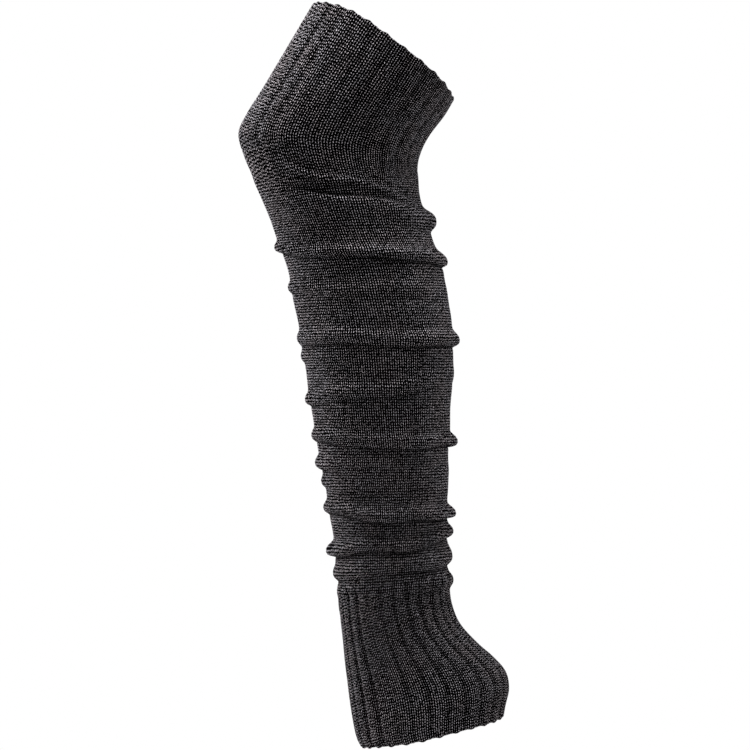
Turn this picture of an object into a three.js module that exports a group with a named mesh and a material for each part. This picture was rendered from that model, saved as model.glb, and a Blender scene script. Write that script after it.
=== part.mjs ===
// One long knitted leg warmer, hollow and shaped as it is worn on a bent leg with the knee forward.
// Sizes are millimetres. +Z is up, +X is towards the back of the leg, and the side that is seen best
// faces -Y. The origin is the middle of the thigh opening, where the wearer's thigh holds the tube.
import * as THREE from 'three';

// Knit and cloth
const RIB_COUNT = 26;
const POINTS_PER_RIB = 4;
const THIGH_RIB = { height: 1.7, valleyAngle: THREE.MathUtils.degToRad(98) };
const ANKLE_RIB = { height: 2.6, valleyAngle: THREE.MathUtils.degToRad(91) };
const CUFF_WALL = 4.2;
const LEG_WALL = 2.8;
const WALL_BLEND = 18;
const SEAM_GAP = 0.3;

// Fineness of the walls: columns run round the leg, rows run down it
const CUFF_COLUMNS = RIB_COUNT * POINTS_PER_RIB;
const CUFF_INSIDE_RATIO = 4;
const THIGH_ROWS = 13;
const ANKLE_ROWS = 12;
const LEG_COLUMNS = 44;
const LEG_INSIDE_RATIO = 2;
const LEG_ROWS = 72;

// The worn outline, one row for each section from the thigh hem to the heel hem. A section is an oval:
// front and back are the [x, z] ends of its long axis, and half is half its width across the leg.
// fuller is above 0 where its back half is the wider one, lift is how much higher its two sides ride
// than its ends, and stretch is how much further the knit is pulled open on the two sides than at the
// front and back. Each of these three is 0 where a row leaves it out.
const SECTIONS = [
  { at: 'thigh hem', front: [-56, 37.5], back: [56.5, -38], half: 66, lift: 8, stretch: 0.04 },
  { at: 'thigh', front: [-77.5, 1], back: [50, -50], half: 65.5, lift: 5, stretch: 0.04 },
  { at: 'thigh end', front: [-96, -30], back: [39, -64.5], half: 63.5, fuller: -0.02, lift: 2.5, stretch: 0.04 },
  { at: 'knee top', front: [-108.5, -50], back: [33, -75], half: 61, fuller: -0.04, lift: 1, stretch: 0.035 },
  { at: 'kneecap', front: [-114.5, -65], back: [29.5, -85], half: 59, fuller: -0.05, stretch: 0.03 },
  { at: 'knee bottom', front: [-109.5, -84], back: [28.5, -93.5], half: 57.5, fuller: -0.03, stretch: 0.02 },
  { at: 'upper seam', front: [-101, -104.5], back: [29, -101.5], half: 56.5, stretch: 0.01 },
  { at: 'upper shin', front: [-95.5, -118.5], back: [30, -112.5], half: 56, fuller: 0.02 },
  { at: 'below knee', front: [-88.5, -135], back: [33.5, -129.5], half: 56, fuller: 0.04 },
  { at: 'calf top', front: [-83, -151], back: [40, -148], half: 56.5, fuller: 0.06 },
  { at: 'upper calf', front: [-76, -170.5], back: [47, -167], half: 57, fuller: 0.07 },
  { at: 'calf', front: [-70, -197.5], back: [52.5, -196], half: 57, fuller: 0.08 },
  { at: 'full calf', front: [-64.5, -229.5], back: [57, -228], half: 56, fuller: 0.08 },
  { at: 'lower calf', front: [-59.5, -261.5], back: [56, -261], half: 53.5, fuller: 0.07 },
  { at: 'mid shin', front: [-54.5, -297.5], back: [54, -297], half: 50.5, fuller: 0.05 },
  { at: 'low shin', front: [-48, -332], back: [52.5, -331], half: 47.5, fuller: 0.03 },
  { at: 'above ankle', front: [-42, -366], back: [52.5, -365], half: 44.5 },
  { at: 'ankle top', front: [-37, -398], back: [52, -395], half: 42, fuller: -0.02 },
  { at: 'lower seam', front: [-34.5, -433.5], back: [54, -425.5], half: 39.5, fuller: -0.03 },
  { at: 'ankle', front: [-33, -452], back: [56, -441], half: 38.5, fuller: -0.05 },
  { at: 'tendon', front: [-31, -470], back: [62.5, -456.5], half: 38, fuller: -0.07 },
  { at: 'heel top', front: [-29.5, -486], back: [76, -471.5], half: 38, fuller: -0.09 },
  { at: 'upper heel', front: [-27.5, -502], back: [89.5, -483.5], half: 38.5, fuller: -0.1 },
  { at: 'heel', front: [-25.5, -518], back: [99, -495], half: 39, fuller: -0.1, lift: -0.5 },
  { at: 'heel back', front: [-23, -534], back: [101.5, -508.5], half: 39.5, fuller: -0.1, lift: -0.9 },
  { at: 'under heel', front: [-20, -547.5], back: [98.5, -522.5], half: 40, fuller: -0.1, lift: -1.2 },
  { at: 'heel hem', front: [-16.5, -554.5], back: [94, -531.5], half: 40, fuller: -0.1, lift: -1.3 },
];

// The slouch folds of the plain knit, one row each from the knee down. crest is the height of the
// roll's crest and proud is how far it stands out, each at the back, at the side that faces -Y, at the
// front and at the far side. rise and fall are how far the roll reaches above and below its crest.
const FOLDS = [
  { crest: [-110, -102, -92, -104], proud: [2, 1.6, 0.2, 1.8], rise: 5, fall: 5 },
  { crest: [-133, -117, -101, -124], proud: [8, 3.6, 0.4, 4.6], rise: 7, fall: 8 },
  { crest: [-165.5, -158.5, -155.5, -160], proud: [6.2, 3.2, 3.4, 4], rise: 5, fall: 6 },
  { crest: [-191, -188.5, -188, -187], proud: [0.8, 1.3, 1, 2.6], rise: 7, fall: 8 },
  { crest: [-229, -228.5, -228, -231.5], proud: [5.8, 3, 3.6, 4], rise: 5.5, fall: 6 },
  { crest: [-247, -244, -242, -249], proud: [0.3, 0.2, 1.4, 1.6], rise: 5, fall: 6 },
  { crest: [-262, -272, -279.5, -271], proud: [0.9, 2, 1.8, 2.4], rise: 6, fall: 7 },
  { crest: [-310.5, -309, -305.5, -307], proud: [6, 3.2, 2, 3.4], rise: 5, fall: 6 },
  { crest: [-333, -331, -327, -329], proud: [0.3, 0.2, 3.8, 1.8], rise: 6, fall: 6 },
  { crest: [-348, -347, -343.5, -345], proud: [0.2, 0.2, 1.3, 1.4], rise: 5, fall: 5 },
  { crest: [-368, -367, -362.5, -366], proud: [6, 3.4, 4, 3.6], rise: 5, fall: 6 },
  { crest: [-381, -393.5, -396.5, -390], proud: [4.6, 3.8, 5.4, 4], rise: 4.5, fall: 5 },
  { crest: [-399, -407.5, -412.5, -406], proud: [3.4, 1.2, 2.8, 2.2], rise: 4.5, fall: 5 },
  { crest: [-419, -423.5, -426, -422], proud: [3.6, 2.6, 3, 3], rise: 5, fall: 5 },
];
const SAG = 0.35;
const FOLD_FADE_AT_SEAM = 9;

// How much more of a section's lift lies in its front half
const LIFT_TO_FRONT = 0.3;

const FABRIC_COLOUR = 0x2b2b2e;
const TURN = 2 * Math.PI;
const NEAR_SIDE = new THREE.Vector3(0, -1, 0);

// The distance knitted down to each section, half way between its front and its back
const knitted = [0];
for (let i = 1; i < SECTIONS.length; i += 1) {
  const above = SECTIONS[i - 1];
  const here = SECTIONS[i];
  const front = Math.hypot(here.front[0] - above.front[0], here.front[1] - above.front[1]);
  const back = Math.hypot(here.back[0] - above.back[0], here.back[1] - above.back[1]);
  knitted.push(knitted[i - 1] + (front + back) / 2);
}

function knittedTo(name) {
  return knitted[SECTIONS.findIndex((section) => section.at === name)];
}

const UPPER_SEAM = knittedTo('upper seam');
const LOWER_SEAM = knittedTo('lower seam');
const HEM_END = knittedTo('heel hem');

// One measure of the section table at any knitted distance, on a smooth curve through its rows
function measure(distance, read) {
  const last = SECTIONS.length - 1;
  let i = 0;
  while (i < last - 1 && knitted[i + 1] < distance) {
    i += 1;
  }
  const slope = (k) => {
    const low = Math.max(k - 1, 0);
    const high = Math.min(k + 1, last);
    return (read(SECTIONS[high]) - read(SECTIONS[low])) / (knitted[high] - knitted[low]);
  };
  const span = knitted[i + 1] - knitted[i];
  const t = (distance - knitted[i]) / span;
  const start = read(SECTIONS[i]) * (1 + 2 * t) * (1 - t) ** 2;
  const end = read(SECTIONS[i + 1]) * (3 - 2 * t) * t ** 2;
  return start + end + span * (slope(i) * t * (1 - t) ** 2 - slope(i + 1) * (1 - t) * t ** 2);
}

// A value given at the back, near side, front and far side, eased from one to the next round the leg
function roundTheLeg(values, angle) {
  const quarter = (((angle / TURN) * 4) % 4 + 4) % 4;
  const from = Math.floor(quarter);
  const ease = (1 - Math.cos(Math.PI * (quarter - from))) / 2;
  return values[from] * (1 - ease) + values[(from + 1) % 4] * ease;
}

// How far the folds push the cloth out at a height z on the leg
function foldHeight(angle, z) {
  let height = 0;
  for (const fold of FOLDS) {
    const below = roundTheLeg(fold.crest, angle) - z;
    const reach = below < 0 ? fold.rise : fold.fall;
    height += roundTheLeg(fold.proud, angle) * Math.exp(-((below / reach) ** 2));
  }
  return height;
}

// 0 to 1 over a length, eased at both ends
function eased(value, length) {
  return THREE.MathUtils.smoothstep(value, 0, length);
}

// The oval of the tube at a knitted distance, with its long axis seen from the side
function ovalAt(distance) {
  const end = (key) => {
    const coordinate = (i) => measure(distance, (s) => s[key][i]);
    return new THREE.Vector3(coordinate(0), 0, coordinate(1));
  };
  const front = end('front');
  const back = end('back');
  return {
    middle: front.clone().add(back).multiplyScalar(0.5),
    along: back.clone().sub(front).normalize(),
    halfLength: front.distanceTo(back) / 2,
    halfWidth: measure(distance, (s) => s.half),
    fuller: measure(distance, (s) => s.fuller ?? 0),
    lift: measure(distance, (s) => s.lift ?? 0),
    stretch: measure(distance, (s) => s.stretch ?? 0),
  };
}

// A point of the cloth: distance is knitted length, turn is 0 to 1 round the leg from the back by the
// near side, inset is how far it lies inside the crest of the ribs, and folded is 1 where folds show
function clothPoint(distance, turn, inset, folded) {
  const oval = ovalAt(distance);
  const angle = turn * TURN - oval.stretch * Math.sin(2 * turn * TURN);
  const [cos, sin] = [Math.cos(angle), Math.sin(angle)];
  const halfWidth = oval.halfWidth * (1 + oval.fuller * cos);
  const outward = oval.along.clone().multiplyScalar(cos / oval.halfLength);
  outward.addScaledVector(NEAR_SIDE, sin / halfWidth).normalize();
  const point = oval.middle.addScaledVector(oval.along, oval.halfLength * cos);
  point.addScaledVector(NEAR_SIDE, halfWidth * sin);
  const lift = oval.lift * (1 - cos ** 4) * (1 - LIFT_TO_FRONT * cos);
  point.addScaledVector(NEAR_SIDE.clone().cross(oval.along), lift);
  const push = folded * foldHeight(angle, point.z);
  point.addScaledVector(outward, push - inset);
  point.z -= push * SAG;
  return point;
}

// A rib's round back: 0 in the valley and 1 on its crest. turn is 0 at a valley.
function ribProfile(turn) {
  return Math.abs(Math.sin(Math.PI * RIB_COUNT * turn)) ** 0.7;
}

function wallAt(distance) {
  const intoLeg = eased(distance - UPPER_SEAM + WALL_BLEND, WALL_BLEND);
  const outOfLeg = eased(distance - LOWER_SEAM, WALL_BLEND);
  return CUFF_WALL + (LEG_WALL - CUFF_WALL) * intoLeg * (1 - outOfLeg);
}

// The zip of triangles between a ring of the outer wall and the coarser ring of the inner one
function stitchRim(index, outerRing, innerRing, ratio, flipped) {
  const count = innerRing.length;
  const add = (a, b, c) => index.push(...(flipped ? [a, c, b] : [a, b, c]));
  for (let j = 0; j < count; j += 1) {
    const here = innerRing[j];
    const next = innerRing[(j + 1) % count];
    for (let k = 0; k < ratio; k += 1) {
      const a = outerRing[j * ratio + k];
      const b = outerRing[(j * ratio + k + 1) % outerRing.length];
      add(a, b, k < ratio / 2 ? here : next);
    }
    add(outerRing[j * ratio + ratio / 2], next, here);
  }
}

// A closed tube wall between two knitted distances, from its outer and inner surface functions
function tubeWall({ from, to, rows, columns, ratio, outer, inner }) {
  const positions = [];
  const index = [];
  const surface = (count, pointAt) => {
    const rings = [];
    for (let row = 0; row <= rows; row += 1) {
      const distance = from + ((to - from) * row) / rows;
      const ring = [];
      for (let i = 0; i < count; i += 1) {
        ring.push(positions.length / 3);
        positions.push(...pointAt(distance, i / count).toArray());
      }
      rings.push(ring);
    }
    return rings;
  };
  const skin = (rings, flipped) => {
    const count = rings[0].length;
    for (let row = 0; row < rows; row += 1) {
      for (let i = 0; i < count; i += 1) {
        const next = (i + 1) % count;
        const [a, b] = [rings[row][i], rings[row][next]];
        const [c, d] = [rings[row + 1][next], rings[row + 1][i]];
        index.push(...(flipped ? [a, c, b, a, d, c] : [a, b, c, a, c, d]));
      }
    }
  };
  const outside = surface(columns, outer);
  const inside = surface(columns / ratio, inner);
  skin(outside, false);
  skin(inside, true);
  stitchRim(index, outside[0], inside[0], ratio, true);
  stitchRim(index, outside[rows], inside[rows], ratio, false);
  const geometry = new THREE.BufferGeometry();
  geometry.setAttribute('position', new THREE.Float32BufferAttribute(positions, 3));
  geometry.setIndex(index);
  geometry.computeVertexNormals();
  return geometry;
}

// A ribbed cuff: ribs raised on the outside, plain inside. ribFade is 0 where the ribs die away.
function ribbedCuff(from, to, rows, rib, ribFade) {
  const firstValley = rib.valleyAngle / TURN;
  return tubeWall({
    from,
    to,
    rows,
    columns: CUFF_COLUMNS,
    ratio: CUFF_INSIDE_RATIO,
    outer: (distance, turn) => {
      const valley = rib.height * (1 - ribProfile(turn)) * ribFade(distance);
      return clothPoint(distance, turn + firstValley, valley, 0);
    },
    inner: (distance, turn) => clothPoint(distance, turn + firstValley, wallAt(distance), 0),
  });
}

// The plain knit tube with its slouch folds, which die away just before the seams
function foldedLeg(from, to) {
  const fade = (length) => eased(length, FOLD_FADE_AT_SEAM);
  const folded = (distance) => fade(distance - from) * fade(to - distance);
  return tubeWall({
    from,
    to,
    rows: LEG_ROWS,
    columns: LEG_COLUMNS,
    ratio: LEG_INSIDE_RATIO,
    outer: (distance, turn) => clothPoint(distance, turn, 0, folded(distance)),
    inner: (distance, turn) => clothPoint(distance, turn, wallAt(distance), folded(distance)),
  });
}

function knitMaterial() {
  return new THREE.MeshStandardMaterial({ color: FABRIC_COLOUR, roughness: 0.95, metalness: 0 });
}

function piece(name, geometry) {
  const mesh = new THREE.Mesh(geometry, knitMaterial());
  mesh.name = name;
  return mesh;
}

const halfGap = SEAM_GAP / 2;
const thighFade = (distance) => 0.25 + 0.75 * eased(UPPER_SEAM - distance, 2 * WALL_BLEND);
const ankleFade = (distance) => 0.6 + 0.4 * eased(distance - LOWER_SEAM, WALL_BLEND);

const thighCuff = ribbedCuff(0, UPPER_SEAM - halfGap, THIGH_ROWS, THIGH_RIB, thighFade);
const leg = foldedLeg(UPPER_SEAM + halfGap, LOWER_SEAM - halfGap);
const ankleCuff = ribbedCuff(LOWER_SEAM + halfGap, HEM_END, ANKLE_ROWS, ANKLE_RIB, ankleFade);

const legWarmer = new THREE.Group();
legWarmer.add(piece('thigh_cuff', thighCuff), piece('leg', leg), piece('ankle_cuff', ankleCuff));

export default legWarmer;
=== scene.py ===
# One long leg warmer, hollow and shaped as worn on a bent leg: a ribbed thigh cuff, a plain-knit leg
# that slouches in folds, and a ribbed ankle cuff that flares round the heel, all in charcoal yarn.
import math

import bpy
import numpy as np
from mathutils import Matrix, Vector


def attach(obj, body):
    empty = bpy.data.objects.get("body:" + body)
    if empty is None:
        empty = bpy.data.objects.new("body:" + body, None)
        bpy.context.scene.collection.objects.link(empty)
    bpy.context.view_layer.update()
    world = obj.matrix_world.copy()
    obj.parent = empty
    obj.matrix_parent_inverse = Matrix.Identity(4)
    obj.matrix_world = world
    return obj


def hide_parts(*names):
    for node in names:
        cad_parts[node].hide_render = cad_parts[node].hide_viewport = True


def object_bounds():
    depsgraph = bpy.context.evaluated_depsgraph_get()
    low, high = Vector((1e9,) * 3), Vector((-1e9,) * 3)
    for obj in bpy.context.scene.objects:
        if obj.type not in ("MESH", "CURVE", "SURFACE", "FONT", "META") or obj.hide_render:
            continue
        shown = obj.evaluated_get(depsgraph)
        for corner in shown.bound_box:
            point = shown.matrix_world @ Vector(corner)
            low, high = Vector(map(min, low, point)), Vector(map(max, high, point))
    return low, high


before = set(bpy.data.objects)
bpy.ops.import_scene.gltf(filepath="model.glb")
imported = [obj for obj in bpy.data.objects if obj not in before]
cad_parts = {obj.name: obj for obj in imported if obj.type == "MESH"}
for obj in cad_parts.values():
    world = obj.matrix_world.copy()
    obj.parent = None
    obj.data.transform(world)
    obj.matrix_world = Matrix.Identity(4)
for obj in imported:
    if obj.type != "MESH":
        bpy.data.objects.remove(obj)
cad_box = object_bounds()


# The thigh cuff is the top of the tube, a stretched rib of two knit and two purl wales, knitted
# straight and pulled over the knee. Its cast-on hem is a soft rolled edge, scalloped by the ribs.
MM = 0.001
TURN = 2 * math.pi

# The worn outline in millimetres, one row a section from the thigh hem to the heel hem: its front and
# back edges, half its width across the leg, how much fuller it is at the back, how far its sides are
# lifted along the tube, and how far the ribs are spread at its sides
OUTLINE_COLUMNS = ("front_x", "front_z", "back_x", "back_z", "half", "fuller", "lift", "stretch")
OUTLINE = {
    "thigh hem": (-54.8, 39.3, 57.8, -36.9, 66, 0, 6.9, 0.04),
    "thigh": (-77.5, 1, 50, -50, 65.5, 0, 5, 0.04),
    "thigh end": (-96, -30, 39, -64.5, 63.5, -0.02, 2.5, 0.04),
    "knee top": (-108.5, -50, 33, -75, 61, -0.04, 1, 0.035),
    "kneecap": (-114.5, -65, 29.5, -85, 59, -0.05, 0, 0.03),
    "knee bottom": (-109.5, -84, 28.5, -93.5, 57.5, -0.03, 0, 0.02),
    "upper seam": (-101, -104.5, 29, -101.5, 56.5, 0, 0, 0.01),
    "upper shin": (-95.5, -118.5, 30, -112.5, 56, 0.02, 0, 0),
    "below knee": (-88.5, -135, 33.5, -129.5, 56, 0.04, 0, 0),
    "calf top": (-83, -151, 40, -148, 56.5, 0.06, 0, 0),
    "upper calf": (-76, -170.5, 47, -167, 57, 0.07, 0, 0),
    "calf": (-70, -197.5, 52.5, -196, 57, 0.08, 0, 0),
    "full calf": (-64.5, -229.5, 57, -228, 56, 0.08, 0, 0),
    "lower calf": (-59.5, -261.5, 56, -261, 53.5, 0.07, 0, 0),
    "mid shin": (-54.5, -297.5, 54, -297, 50.5, 0.05, 0, 0),
    "low shin": (-48, -332, 52.5, -331, 47.5, 0.03, 0, 0),
    "above ankle": (-42, -366, 52.5, -365, 44.5, 0, 0, 0),
    "ankle top": (-37, -398, 52, -395, 42, -0.02, 0, 0),
    "lower seam": (-34.5, -433.5, 54, -425.5, 39.5, -0.03, 0, 0),
    "ankle": (-33, -452, 56, -441, 38.5, -0.05, 0, 0),
    "tendon": (-31, -470, 62.5, -456.5, 38, -0.07, 0, 0),
    "heel top": (-29.5, -486, 76, -471.5, 38, -0.09, 0, 0),
    "upper heel": (-27.5, -502, 89.5, -483.5, 38.5, -0.1, 0, 0),
    "heel": (-25.5, -518, 99, -495, 39, -0.1, -0.5, 0),
    "heel back": (-23, -534, 101.5, -508.5, 39.5, -0.1, -0.9, 0),
    "under heel": (-20, -547.5, 98.5, -522.5, 40, -0.1, -1.2, 0),
    "heel hem": (-16.5, -554.5, 97, -530.8, 40, -0.1, -1.3, 0),
}
outline = np.array(list(OUTLINE.values()), dtype=float)
front_steps = np.linalg.norm(np.diff(outline[:, 0:2], axis=0), axis=1)
back_steps = np.linalg.norm(np.diff(outline[:, 2:4], axis=0), axis=1)
knitted = np.concatenate([[0], np.cumsum((front_steps + back_steps) / 2)])
knitted_to = dict(zip(OUTLINE, knitted))
UPPER_SEAM = knitted_to["upper seam"]
LOWER_SEAM = knitted_to["lower seam"]
HEEL_HEM = knitted_to["heel hem"]


def eased(value):
    """0 to 1 with soft ends."""
    value = np.clip(value, 0, 1)
    return value * value * (3 - 2 * value)


def worn_outline(distance):
    """Each column of the outline at these knitted distances, on a smooth curve through its rows."""
    slopes = np.empty_like(outline)
    slopes[1:-1] = (outline[2:] - outline[:-2]) / (knitted[2:] - knitted[:-2])[:, None]
    end_steps = (knitted[[1, -1]] - knitted[[0, -2]])[:, None]
    slopes[[0, -1]] = (outline[[1, -1]] - outline[[0, -2]]) / end_steps
    i = np.clip(np.searchsorted(knitted, distance, side="right") - 1, 0, len(knitted) - 2)
    span = (knitted[i + 1] - knitted[i])[..., None]
    t = (distance[..., None] - knitted[i][..., None]) / span
    start = outline[i] * (1 + 2 * t) + slopes[i] * span * t
    end = outline[i + 1] * (3 - 2 * t) - slopes[i + 1] * span * (1 - t)
    at = start * (1 - t) ** 2 + end * t**2
    return {name: at[..., k] for k, name in enumerate(OUTLINE_COLUMNS)}


def round_the_leg(values, angle):
    """Eases between values given at the back, the near side, the front and the far side."""
    quarter = (angle / TURN * 4) % 4
    corner = quarter.astype(int) % 4
    ease = (1 - np.cos(np.pi * (quarter - corner))) / 2
    values = np.broadcast_to(np.array(values, dtype=float), 4)
    return values[corner] * (1 - ease) + values[(corner + 1) % 4] * ease


def soft_patch(from_middle, reach):
    """1 in the middle of a patch, dying away softly over its reach."""
    return np.exp(-((from_middle / reach) ** 2))


RIBS = 26
THIGH_RIB_DEPTH = 1.9
# Shares at the back, near, front and far sides: how much of the thigh ribs' depth shows, and how much
# of that the knee takes away
THIGH_RIBS_SHOWING = (0.75, 0.7, 0.05, 0.7)
TAKEN_BY_KNEE = (0, 0.3, 0.5, 0.3)
KNEE_FADE = 30
RIBS_FADE_ABOVE_SEAM = 26
RIBS_FADE = 36
FRONT_RIBS = math.radians(41)
FRONT_RIBS_REACH = 0.2
DEEPER_FRONT_RIBS = 0.85


def thigh_ribs(distance, angle):
    """How deep the valleys of the thigh ribs are: shallow where the knee stretches them, then gone."""
    depth = 1 - eased((distance - UPPER_SEAM + RIBS_FADE_ABOVE_SEAM) / RIBS_FADE)
    over_knee = eased((distance - knitted_to["thigh end"]) / KNEE_FADE)
    beside_front = soft_patch(np.abs(angle % TURN - math.pi) - FRONT_RIBS, FRONT_RIBS_REACH)
    showing = round_the_leg(THIGH_RIBS_SHOWING, angle) + DEEPER_FRONT_RIBS * beside_front
    kept = 1 - over_knee * round_the_leg(TAKEN_BY_KNEE, angle)
    return THIGH_RIB_DEPTH * depth * showing * kept


# The slouch folds, which start low in the thigh cuff and run down the leg. One row a fold, in
# millimetres: the crest's height, how proud it stands, how far it droops for each millimetre it
# stands proud, and its reach above and below, each at the back, near, front and far sides or one
# number for all four.
FOLDS = [
    ((-131, -104.7, -56, -106), (0.3, 2.4, 0, 1.2), 0, 2.4, 2.4),
    ((-134, -121, -102, -124), (6.5, 3.4, 0.4, 4.6), (0.15, -0.42, 0.05, 0.3),
     (6, 2.6, 4, 5), (7, 15, 9, 8)),
    ((-163, -160.5, -156, -160), (6.2, 3.4, 3.6, 4), 0.35, (4.5, 3, 3.5, 5), (5, 3.5, 3.5, 6.5)),
    ((-191, -189, -187, -187), (0.8, 1.8, 2.7, 2.6), 0.3, (7, 4, 3.5, 7), (8, 6, 4, 8)),
    ((-228, -226.5, -227, -231.5), (5.8, 3.2, 3.4, 4), 0.35, (4.5, 3, 4, 5.5), 5),
    ((-247, -244, -242, -249), (0.3, 0.2, 1.7, 1.6), 0.3, (5, 4, 3.5, 5), (6, 5, 4, 6)),
    ((-255, -267, -277.5, -271), (0.9, 2.4, 3.2, 2.4), 0.35, (6, 3.5, 4, 6), (5.5, 5, 4, 5.5)),
    ((-309, -307.5, -304.5, -307), (6, 2.8, 3.4, 3.4), 0.35, (3.5, 3, 4, 5.5), (4, 5, 4, 5)),
    ((-333, -331, -326, -329), (0.3, 0.3, 4.4, 1.8), 0.3, (5, 5, 4, 6), (5, 5, 4, 6)),
    ((-348, -347, -343.5, -345), (0.2, 0.3, 2.8, 1.4), 0.3, (5, 5, 3.5, 5), (5, 5, 4, 5)),
    ((-366.5, -365.5, -361.5, -366), (6, 3.6, 4, 3.6), 0.35, (3.5, 3, 4, 5), (4, 5, 4.5, 5)),
    ((-381, -390.5, -395.5, -390), (4.6, 2.8, 5.6, 4), 0.35, (3.5, 2.8, 4, 4.5), (4, 4.5, 4.5, 5)),
    ((-401, -407, -415, -406), (4.2, 2.4, 3.1, 2.4), 0.35, (7, 6, 5, 6), (5.5, 5.3, 5, 5)),
    ((-420, -425, -431, -424), (4, 1.4, 1.3, 1.6), 0.1, (5, 4.5, 4, 4.5), (5, 4.5, 4, 4.5)),
]
# Waves round the leg: the height of each, how many go round, and its shift from one fold to the next
CREST_WANDER = ((0.9, 3, 1.9), (0.7, 5, 2.7))
ROLL_SWELL = ((0.14, 4, 1.3), (0.1, 7, 2.1))
ROLL_FULLNESS = 2.3
ROLL_BULGE = 0.45
CREASE_PLACE = 1.5
CREASE_WIDTH = 1.6
CREASE_SHARE = 0.3
# A share of each crease's depth darkens the colour there: painted shade in the crease
CREASE_SHADE = 0.8
DEEPEST_DROOP = 0.45
INSIDE_DROOP = 0.4
BROAD_LUMPS = 0.5
SMALL_LUMPS = 0.3
FOLD_FADE = 9


def waves(kinds, angle, fold):
    return sum(height * np.sin(number * angle + shift * fold) for height, number, shift in kinds)


def slouch(distance, angle, z, outer):
    """(outward push, drop, crease depth for painted shade) of the folds, each a little uneven round
    the leg.
    """
    push, down, crease = np.zeros_like(z), np.zeros_like(z), np.zeros_like(z)
    for i, (crest, proud, droop, rise, fall) in enumerate(FOLDS):
        below = round_the_leg(crest, angle) + waves(CREST_WANDER, angle, i) - z
        height = round_the_leg(proud, angle) * (1 + waves(ROLL_SWELL, angle, i))
        drooping = round_the_leg(droop, angle)
        rising, falling = round_the_leg(rise, angle), round_the_leg(fall, angle)
        reach = np.where(below < 0, rising, falling)
        roll = height * np.exp(-(np.abs(below / reach) ** ROLL_FULLNESS))
        bulge = height * ROLL_BULGE * (below / reach) * soft_patch(below, reach)
        crease_at = CREASE_PLACE * np.where(drooping < 0, -rising, falling)
        tucked = np.minimum(1, (drooping / DEEPEST_DROOP) ** 2)
        push += roll
        down += (roll * drooping + bulge) * (1 if outer else INSIDE_DROOP)
        crease += height * tucked * soft_patch(below - crease_at, CREASE_WIDTH)
    if outer:
        push -= CREASE_SHARE * crease
    lumps = BROAD_LUMPS * np.sin(2 * angle + z / 11 + 0.7) * np.sin(3 * angle - z / 17)
    lumps += SMALL_LUMPS * np.sin(5 * angle + z / 7 + 2) * np.sin(angle + z / 23 + 1)
    below_knee = eased((distance - knitted_to["knee bottom"]) / FOLD_FADE)
    shown = below_knee * eased((knitted_to["ankle"] - distance) / FOLD_FADE)
    return (push + lumps) * shown, down * shown, crease * shown * CREASE_SHADE


HEM_ROUND = 1.5
HEM_SCALLOP = 1.1
SCALLOP_FULLNESS = 0.8
UNEVEN_SCALLOPS = 0.35
UNEVEN_HEM = 0.4
HEM_FADE = 7


def hem_shape(distance, turn):
    """(inset, push along the tube) that roll the two hems in and scallop them by the ribs."""
    to_hem = np.minimum(distance, HEEL_HEM - distance)
    rolled = np.clip(HEM_ROUND - to_hem, 0, HEM_ROUND)
    inset = HEM_ROUND - np.sqrt(HEM_ROUND**2 - rolled**2)
    rib = np.abs(np.sin(np.pi * RIBS * turn)) ** SCALLOP_FULLNESS
    uneven = UNEVEN_SCALLOPS * np.sin(TURN * 2 * RIBS * turn + 1.1)
    uneven += UNEVEN_HEM * np.sin(TURN * 5 * turn + 0.6)
    reach = (HEM_SCALLOP * (rib - 0.5) + uneven) * np.exp(-to_hem / HEM_FADE)
    return inset, np.where(distance < HEEL_HEM / 2, -reach, reach)


CUFF_WALL = 4.0
LEG_WALL = 2.8
WALL_CHANGE = 18


def wall(distance):
    """The thickness of the cloth, from a rib's crest to the plain inside."""
    past_cuff = eased((distance - UPPER_SEAM + WALL_CHANGE) / WALL_CHANGE)
    in_leg = past_cuff * (1 - eased((distance - LOWER_SEAM) / WALL_CHANGE))
    return CUFF_WALL + (LEG_WALL - CUFF_WALL) * in_leg


def wale_at(turn, wales):
    """How many wales lie before this part of the turn. Where a rib holds an odd number of whole wales,
    the count starts in the middle of one."""
    return turn * wales + 0.5 * (wales // RIBS % 2)


LIFT_TO_FRONT = 0.3
YARN_PROUD = 0.4
RIB_FULLNESS = 0.55
WALE_GROOVE = 0.35
MID_WALE_GROOVE = 0.25


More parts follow.
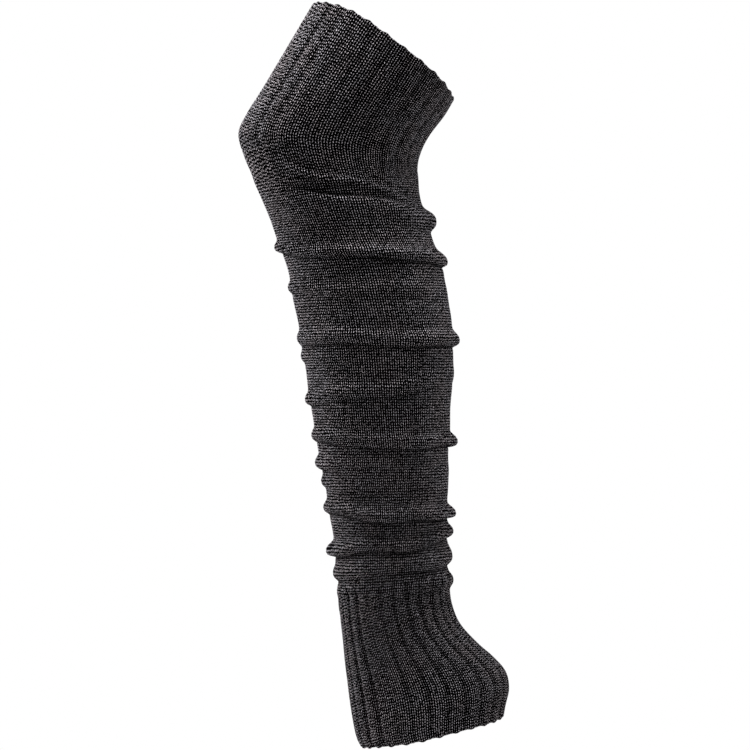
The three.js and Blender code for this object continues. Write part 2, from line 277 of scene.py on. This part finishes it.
def cloth(distance, turn, outer, wales, ribs, valley):
    """Points in metres on the outer or inner face of the worn tube, and how deep each lies between
    the ribs, wales and folds in millimetres, the depth that paints shade into the valleys and creases.
    turn is 0 to 1 from a rib valley."""
    at = worn_outline(distance)
    even = TURN * turn + valley(distance)
    angle = even - at["stretch"] * np.sin(2 * even)
    cos, sin = np.cos(angle), np.sin(angle)

    long_x, long_z = at["back_x"] - at["front_x"], at["back_z"] - at["front_z"]
    half_length = np.hypot(long_x, long_z) / 2
    along_x, along_z = long_x / 2 / half_length, long_z / 2 / half_length
    half_width = at["half"] * (1 + at["fuller"] * cos)
    x = (at["front_x"] + at["back_x"]) / 2 + half_length * cos * along_x
    y = -half_width * sin
    z = (at["front_z"] + at["back_z"]) / 2 + half_length * cos * along_z

    steep = np.hypot(cos / half_length, sin / half_width)
    out_long, out_near = cos / half_length / steep, sin / half_width / steep
    up_tube = at["lift"] * (1 - cos**4) * (1 - LIFT_TO_FRONT * cos)
    push, down, crease = slouch(distance, angle, z, outer)
    deep = np.zeros_like(z)
    if outer:
        rib = np.abs(np.sin(np.pi * RIBS * turn)) ** RIB_FULLNESS
        between_wales = 1 - np.abs(np.sin(np.pi * wale_at(turn, wales)))
        mid_wale = np.maximum(0, -np.cos(TURN * wale_at(turn, wales)))
        grooves = WALE_GROOVE * (between_wales + MID_WALE_GROOVE * mid_wale)
        deep = ribs(distance, angle) * (1 - rib) + grooves
        rolled, reach = hem_shape(distance, turn)
        push = push + YARN_PROUD - deep - rolled
        up_tube = up_tube - reach
        # The crease adds only to the depth that paints shade, not to the cloth's shape
        deep = deep + crease
    else:
        push = push - wall(distance)
    x = x + push * out_long * along_x - up_tube * along_z
    y = y - push * out_near
    z = z + push * out_long * along_z + up_tube * along_x - down
    return np.stack([x, y, z], axis=-1) * MM, deep


def wall_quads(rows, columns, inward):
    """The row and the column of each corner of the faces between a tube's rows of points."""
    row, column = np.meshgrid(np.arange(rows - 1), np.arange(columns), indexing="ij")
    corner_rows = np.stack([row, row + 1, row + 1, row], axis=-1).reshape(-1, 4)
    corner_columns = np.stack([column, column, column + 1, column + 1], axis=-1).reshape(-1, 4)
    if inward:
        return corner_rows[:, ::-1], corner_columns[:, ::-1]
    return corner_rows, corner_columns


def sharpen_rings(mesh, rings, columns):
    """Sharp edges round the rings of points where the tube runs on into the next piece."""
    ends = np.zeros(len(mesh.edges) * 2, dtype=int)
    mesh.edges.foreach_get("vertices", ends)
    ends = ends.reshape(-1, 2)
    sharp = np.zeros(len(mesh.edges), dtype=bool)
    for ring in rings:
        sharp |= ((ends >= ring) & (ends < ring + columns)).all(axis=1)
    mesh.attributes.new("sharp_edge", "BOOLEAN", "EDGE").data.foreach_set("value", sharp)


POINTS_A_WALE = 4
COURSE_HEIGHT = 2.2
HEM_ROWS = np.array([0.12, 0.4, 0.85, HEM_ROUND])
OUTER_BAKE = (0.995, 0.32)
INNER_BAKE = (0.28, 0.005)
RIM_BAKE = 0.004


def knit_tube(name, start, end, rows, inside_rows, yarn, wales, purl_share, ribs, valley):
    """A closed tube wall of knit between two knitted distances, with its stitch and bake maps.
    purl_share is how much of each rib's width is purl, in its valley."""
    columns, inside_columns = wales * POINTS_A_WALE, wales
    down = np.linspace(start, end, rows + 1)
    for hem in (0, HEEL_HEM):
        if hem in (start, end):
            down = np.unique(np.concatenate([down, np.abs(hem - HEM_ROWS)]))
    inside_down = np.linspace(start, end, inside_rows + 1)

    points, deep, purl, faces, knit, bake = [], [], [], [], [], []
    rims = {}
    first = 0
    sides = (("outer", down, columns, OUTER_BAKE), ("inner", inside_down, inside_columns, INNER_BAKE))
    for side, row_at, count, (bake_top, bake_bottom) in sides:
        turn, distance = np.meshgrid(np.arange(count) / count, row_at)
        grid, hollow = cloth(distance, turn, side == "outer", wales, ribs, valley)
        points.append(grid.reshape(-1, 3))
        deep.append(hollow.ravel())
        purl.append((np.abs((turn * RIBS) % 1 - 0.5) > 0.5 - purl_share / 2).ravel())
        steps = np.linalg.norm(np.diff(grid, axis=0), axis=2).mean(axis=1) / MM
        length = np.concatenate([[0], np.cumsum(steps)])
        course = (start + length) / COURSE_HEIGHT
        bake_v = bake_top + (bake_bottom - bake_top) * length / length[-1]

        corner_rows, corner_columns = wall_quads(len(row_at), count, side == "inner")
        faces += (first + corner_rows * count + corner_columns % count).tolist()
        around = corner_columns / count
        knit.append(np.stack([wale_at(around, wales), course[corner_rows]], axis=-1).reshape(-1, 2))
        bake.append(np.stack([around, bake_v[corner_rows]], axis=-1).reshape(-1, 2))
        for rim, at_row in (("top", 0), ("bottom", len(row_at) - 1)):
            rims[side, rim] = (first + at_row * count, course[at_row], bake_v[at_row])
        first += grid.shape[0] * count

    ratio = columns // inside_columns
    for rim, bake_strip in (("top", RIM_BAKE), ("bottom", -RIM_BAKE)):
        outer_first, outer_course, outer_v = rims["outer", rim]
        inner_first = rims["inner", rim][0]
        for j in range(inside_columns):
            ring = range(j * ratio, (j + 1) * ratio + 1)
            corners = [(outer_first + c % columns, c / columns, 0) for c in ring]
            corners += [(inner_first + c % inside_columns, c / inside_columns, 1) for c in (j + 1, j)]
            if rim == "bottom":
                corners.reverse()
            face, u, inward = (np.array(values) for values in zip(*corners))
            faces.append(face.tolist())
            knit.append(np.stack([wale_at(u, wales), outer_course + inward], axis=-1))
            bake.append(np.stack([u, outer_v + bake_strip * inward], axis=-1))

    mesh = bpy.data.meshes.new(name)
    mesh.from_pydata(np.concatenate(points).tolist(), [], faces)
    for map_name, values in (("knit", knit), ("OFBake", bake)):
        layer = mesh.uv_layers.new(name=map_name)
        layer.data.foreach_set("uv", np.concatenate(values).astype(np.float32).ravel())
    # The depth darkens the yarn's colour in the valleys and creases: painted shade
    for attribute, values in (("painted_shade_depth", deep), ("purl", purl)):
        made = mesh.attributes.new(attribute, "FLOAT", "POINT")
        made.data.foreach_set("value", np.concatenate(values).astype(np.float32))
    mesh.polygons.foreach_set("use_smooth", np.ones(len(mesh.polygons), dtype=bool))
    seams = [rims["outer", "top"][0]] if start > 0 else []
    if end < HEEL_HEM:
        seams.append(rims["outer", "bottom"][0])
    sharpen_rings(mesh, seams, columns)
    mesh.materials.append(yarn)
    piece = bpy.data.objects.new(name, mesh)
    bpy.context.scene.collection.objects.link(piece)
    return piece


class Yarn:
    """A value in a knit material. Arithmetic on it adds Math nodes, and node() adds any other."""

    def __init__(self, tree, socket=None):
        self.tree = tree
        self.socket = socket

    def __getitem__(self, output):
        return Yarn(self.tree, self.socket.node.outputs[output])

    def node(self, kind, settings=None, sockets=None, output=0):
        made = self.tree.nodes.new(kind)
        for key, value in (settings or {}).items():
            setattr(made, key, value)
        for key, value in (sockets or {}).items():
            if isinstance(value, Yarn):
                self.tree.links.new(value.socket, made.inputs[key])
            else:
                made.inputs[key].default_value = value
        return Yarn(self.tree, made.outputs[output] if made.outputs else None)

    def math(self, operation, *values):
        sockets = dict(enumerate((self, *values)))
        return self.node("ShaderNodeMath", {"operation": operation}, sockets)

    def __add__(self, other):
        return self.math("ADD", other)

    def __radd__(self, other):
        return self + other

    def __sub__(self, other):
        return self.math("SUBTRACT", other)

    def __rsub__(self, other):
        return self * -1 + other

    def __mul__(self, other):
        return self.math("MULTIPLY", other)

    def __rmul__(self, other):
        return self * other

    def __pow__(self, other):
        return self.math("POWER", other)

    def between(self, low, high):
        settings = {"interpolation_type": "SMOOTHSTEP"}
        sockets = {"Value": self, "From Min": low, "From Max": high}
        return self.node("ShaderNodeMapRange", settings, sockets)

    def tint(self, colour, other):
        def socket(value):
            return value if isinstance(value, Yarn) else (*value, 1)
        sockets = {0: self, 6: socket(colour), 7: socket(other)}
        return self.node("ShaderNodeMix", {"data_type": "RGBA"}, sockets, output=2)


# A stitch is a wale wide and a course high. The wavers, the slant of its V and the bow of a purl bump
# are in wales and courses, the relief is in metres, the valley depths are in millimetres, and the
# other numbers are shares and powers of the yarn's height.
WALE_WAVER = 0.2
COURSE_WAVER = 0.6
LEG_SLANT = 1.0
LEG_ROUNDNESS = 1.5
PURL_BOW = 0.22
YARN_SWELL = 0.7
HAIR_SHADE = 0.6
HAIR_RELIEF = 0.3
STITCH_RELIEF = 0.0014
# From GAP_HEIGHT up, the yarn's height sets its colour: near black in the gaps between yarn legs,
# painted shade, up to light grey on the crowns, painted highlight
GAP_HEIGHT = 0.42
GAP_CONTRAST = 5
# Painted shade darkens the colour where the cloth lies between VALLEY_DEPTHS deep, by up to
# VALLEY_SHADE
VALLEY_SHADE = 0.75
VALLEY_DEPTHS = (0.15, 2.2)
# Painted shade in the gaps, then the yarn's warm and cool tones at the brightness of a painted
# highlight on its crowns
GAP_SHADE_COLOUR = (0.0005, 0.00045, 0.0005)
WARM_YARN_HIGHLIGHT = (0.376, 0.342, 0.359)
COOL_YARN_HIGHLIGHT = (0.358, 0.339, 0.364)


def knit_yarn(name):
    """Charcoal yarn worked in V stitches, with rows of purl bumps in the valleys of the ribs. The V
    pattern is the knit's own; its near-black gaps are painted shade and its light crowns painted
    highlight, and the rib valleys and fold creases are darkened with painted shade.
    """
    material = bpy.data.materials.new(name)
    material.use_nodes = True
    material.node_tree.nodes.clear()
    blank = Yarn(material.node_tree)
    place = blank.node("ShaderNodeNewGeometry")["Position"]

    def noise(scale, detail):
        sockets = {"Vector": place, "Scale": scale, "Detail": detail, "Roughness": 0.6}
        return blank.node("ShaderNodeTexNoise", None, sockets)["Fac"]

    def attribute(attribute_name):
        return blank.node("ShaderNodeAttribute", {"attribute_name": attribute_name})["Fac"]

    stitch_map = blank.node("ShaderNodeUVMap", {"uv_map": "knit"})
    stitch = blank.node("ShaderNodeSeparateXYZ", None, {0: stitch_map})
    wale = stitch["X"] + (noise(210, 1) - 0.5) * WALE_WAVER
    course = stitch["Y"] + (noise(350, 0) - 0.5) * COURSE_WAVER

    in_wale = wale.math("FRACT")
    from_middle = (in_wale - 0.5).math("ABSOLUTE") * 2
    leg_round = (from_middle * (1 - from_middle) * 4) ** LEG_ROUNDNESS
    slanted = course + from_middle * LEG_SLANT
    leg_swell = (slanted.math("FRACT") * math.pi).math("SINE")
    bow = (in_wale * TURN).math("COSINE") * PURL_BOW
    purl_swell = ((course + bow).math("FRACT") * math.pi).math("SINE")
    purl = attribute("purl").math("GREATER_THAN", 0.5)
    swell = leg_swell * (1 - purl) + purl_swell * purl
    height = leg_round * (swell * YARN_SWELL + (1 - YARN_SWELL))

    hairs = noise(1200, 0)
    # Painted shade: the colour darkens where the cloth lies deep in rib valleys, wale grooves and fold
    # creases
    painted_valley_shade = 1 - attribute("painted_shade_depth").between(*VALLEY_DEPTHS) * VALLEY_SHADE
    seen_height = height + (hairs - 0.5) * HAIR_SHADE
    # Painted shade in the gaps and painted highlight on the crowns of the yarn, with painted shade in
    # the valleys
    shade = seen_height.between(GAP_HEIGHT, 1) ** GAP_CONTRAST * painted_valley_shade
    yarn_highlight_colour = noise(45, 1).between(0.4, 0.6).tint(COOL_YARN_HIGHLIGHT, WARM_YARN_HIGHLIGHT)
    colour = shade.tint(GAP_SHADE_COLOUR, yarn_highlight_colour)
    relief = {"Distance": STITCH_RELIEF, "Height": height + hairs * HAIR_RELIEF}
    bump = blank.node("ShaderNodeBump", None, relief)
    cloth_shader = blank.node("ShaderNodeBsdfPrincipled", None, {
        "Base Color": colour,
        "Roughness": 0.9,
        "Specular IOR Level": 0,
        "Normal": bump,
    })
    blank.node("ShaderNodeOutputMaterial", None, {"Surface": cloth_shader})
    return material


THIGH_WALES = 4 * RIBS
THIGH_VALLEY = math.radians(98)
CUFF_ROWS, CUFF_INSIDE_ROWS = 96, 44
PURL_IN_RIB = 1 / 2
SEAM_SLIT = 0.06


def thigh_valley(distance):
    """Where round the leg, at this knitted distance, the valley lies from which turns are counted."""
    return np.full_like(distance, THIGH_VALLEY)


rib_yarn = knit_yarn("rib_knit")
thigh_cuff = knit_tube(
    "thigh_cuff_knit", 0, UPPER_SEAM - SEAM_SLIT / 2, CUFF_ROWS, CUFF_INSIDE_ROWS,
    rib_yarn, THIGH_WALES, PURL_IN_RIB, thigh_ribs, thigh_valley,
)
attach(thigh_cuff, "root")
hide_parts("thigh_cuff")


# The leg is plain knit, longer than the shin it covers, so it slouches. Each fold is a soft roll of
# cloth that stands proud, droops a little over the crease beneath it and dies away round the leg.
LEG_WALES = 96
LEG_ROWS, LEG_INSIDE_ROWS = 220, 100
ANKLE_VALLEY = math.radians(91)

# The ankle ribs start this far above the seam at the back, near, front and far sides, and are flatter
# and then deeper in two patches between the near side and the front
ANKLE_RIB_DEPTH = 1.9
ANKLE_RIBS_ABOVE_SEAM = (15, 10, 7, 10)
ANKLE_RIBS_FADE = 6
FLAT_RIBS = math.radians(120)
FLAT_RIBS_REACH = 0.22
FLATTER = 0.6
DEEP_RIBS = math.radians(140)
DEEP_RIBS_REACH = 0.2
DEEPER = 0.5


def ankle_ribs(distance, angle):
    """How deep the valleys of the ankle ribs are."""
    above_seam = round_the_leg(ANKLE_RIBS_ABOVE_SEAM, angle)
    depth = eased((distance - LOWER_SEAM + above_seam) / ANKLE_RIBS_FADE)
    flat_patch = soft_patch(angle % TURN - FLAT_RIBS, FLAT_RIBS_REACH)
    deep_patch = soft_patch(angle % TURN - DEEP_RIBS, DEEP_RIBS_REACH)
    return ANKLE_RIB_DEPTH * depth * (1 - FLATTER * flat_patch + DEEPER * deep_patch)


def leg_ribs(distance, angle):
    """The ends of both cuffs' ribs, which run on a little way into the leg."""
    return thigh_ribs(distance, angle) + ankle_ribs(distance, angle)


def leg_valley(distance):
    """The counted valley, swaying from its place in the thigh cuff to its place in the ankle cuff."""
    sway = eased((distance - UPPER_SEAM) / (LOWER_SEAM - UPPER_SEAM))
    return THIGH_VALLEY + (ANKLE_VALLEY - THIGH_VALLEY) * sway


plain_yarn = knit_yarn("plain_knit")
leg_ends = (UPPER_SEAM + SEAM_SLIT / 2, LOWER_SEAM - SEAM_SLIT / 2)
leg = knit_tube(
    "leg_knit", *leg_ends, LEG_ROWS, LEG_INSIDE_ROWS,
    plain_yarn, LEG_WALES, 0, leg_ribs, leg_valley,
)
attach(leg, "root")
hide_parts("leg")


# The ankle cuff is the bottom of the tube, the same two by two rib pulled in at the ankle and spread
# over the heel, with its bound-off hem passing under the heel and the arch.
ANKLE_WALES = 4 * RIBS


def ankle_valley(distance):
    return np.full_like(distance, ANKLE_VALLEY)


ankle_cuff = knit_tube(
    "ankle_cuff_knit", LOWER_SEAM + SEAM_SLIT / 2, HEEL_HEM, CUFF_ROWS, CUFF_INSIDE_ROWS,
    rib_yarn, ANKLE_WALES, PURL_IN_RIB, ankle_ribs, ankle_valley,
)
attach(ankle_cuff, "root")
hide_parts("ankle_cuff")


# The floor is a plain pale disc well below the hem. The surround behind it is white to the camera and
# gives the garment a soft fill from all sides.
FLOOR_DROP = 0.6
FLOOR_RADIUS = 1.4
floor_height = cad_box[0][2] - FLOOR_DROP
bpy.ops.mesh.primitive_circle_add(
    vertices=96, radius=FLOOR_RADIUS, fill_type="NGON", location=(0, 0, floor_height)
)
floor = bpy.context.object
floor.name = "floor"
floor_material = bpy.data.materials.new("pale_floor")
floor_material.use_nodes = True
floor_shader = floor_material.node_tree.nodes["Principled BSDF"]
floor_shader.inputs["Base Color"].default_value = (0.8, 0.8, 0.8, 1)
floor_shader.inputs["Roughness"].default_value = 0.9
floor.data.materials.append(floor_material)

SEEN_WHITE = 1.0
SOFT_FILL = 0.25
world = bpy.data.worlds.new("white_surround")
bpy.context.scene.world = world
world.use_nodes = True
world.node_tree.nodes.clear()
surround = Yarn(world.node_tree)
seen = surround.node("ShaderNodeLightPath")["Is Camera Ray"]
strength = seen * (SEEN_WHITE - SOFT_FILL) + SOFT_FILL
white = surround.node("ShaderNodeBackground", None, {"Color": (1, 1, 1, 1), "Strength": strength})
surround.node("ShaderNodeOutputWorld", None, {"Surface": white})
bpy.context.scene.view_settings.view_transform = "Standard"


# Three soft lights: one at the knee's side and a weaker one at the heel's side, both a little behind
# the garment, and a high one just in front that catches the tops of the folds.
MIDDLE = (-0.0055, 0, -0.2576)


def soft_light(name, place, size, power):
    light = bpy.data.lights.new(name, "AREA")
    light.shape = "RECTANGLE"
    light.size, light.size_y = size
    light.energy = power
    lamp = bpy.data.objects.new(name, light)
    lamp.location = place
    lamp.rotation_euler = (Vector(MIDDLE) - Vector(place)).to_track_quat("-Z", "Y").to_euler()
    bpy.context.scene.collection.objects.link(lamp)


soft_light("knee_side_light", (-1.7, 0.7, 0.4), (0.5, 1.1), 140)
soft_light("heel_side_light", (1.7, 0.75, 0.2), (0.5, 1.3), 46)
soft_light("high_light", (-0.05, -0.5, 2.2), (1.2, 0.7), 195)


# The camera stands level with the middle of the garment and square to its side, far enough away that
# the garment just fills the frame from top to bottom.
CAMERA_DISTANCE = 2.5
FRAME_WIDTH = 0.6
camera_data = bpy.data.cameras.new("camera")
camera_data.lens = camera_data.sensor_width * CAMERA_DISTANCE / FRAME_WIDTH
camera = bpy.data.objects.new("camera", camera_data)
camera.location = (MIDDLE[0], -CAMERA_DISTANCE, MIDDLE[2])
camera.rotation_euler = (math.pi / 2, 0, 0)
bpy.context.scene.collection.objects.link(camera)
bpy.context.scene.camera = camera
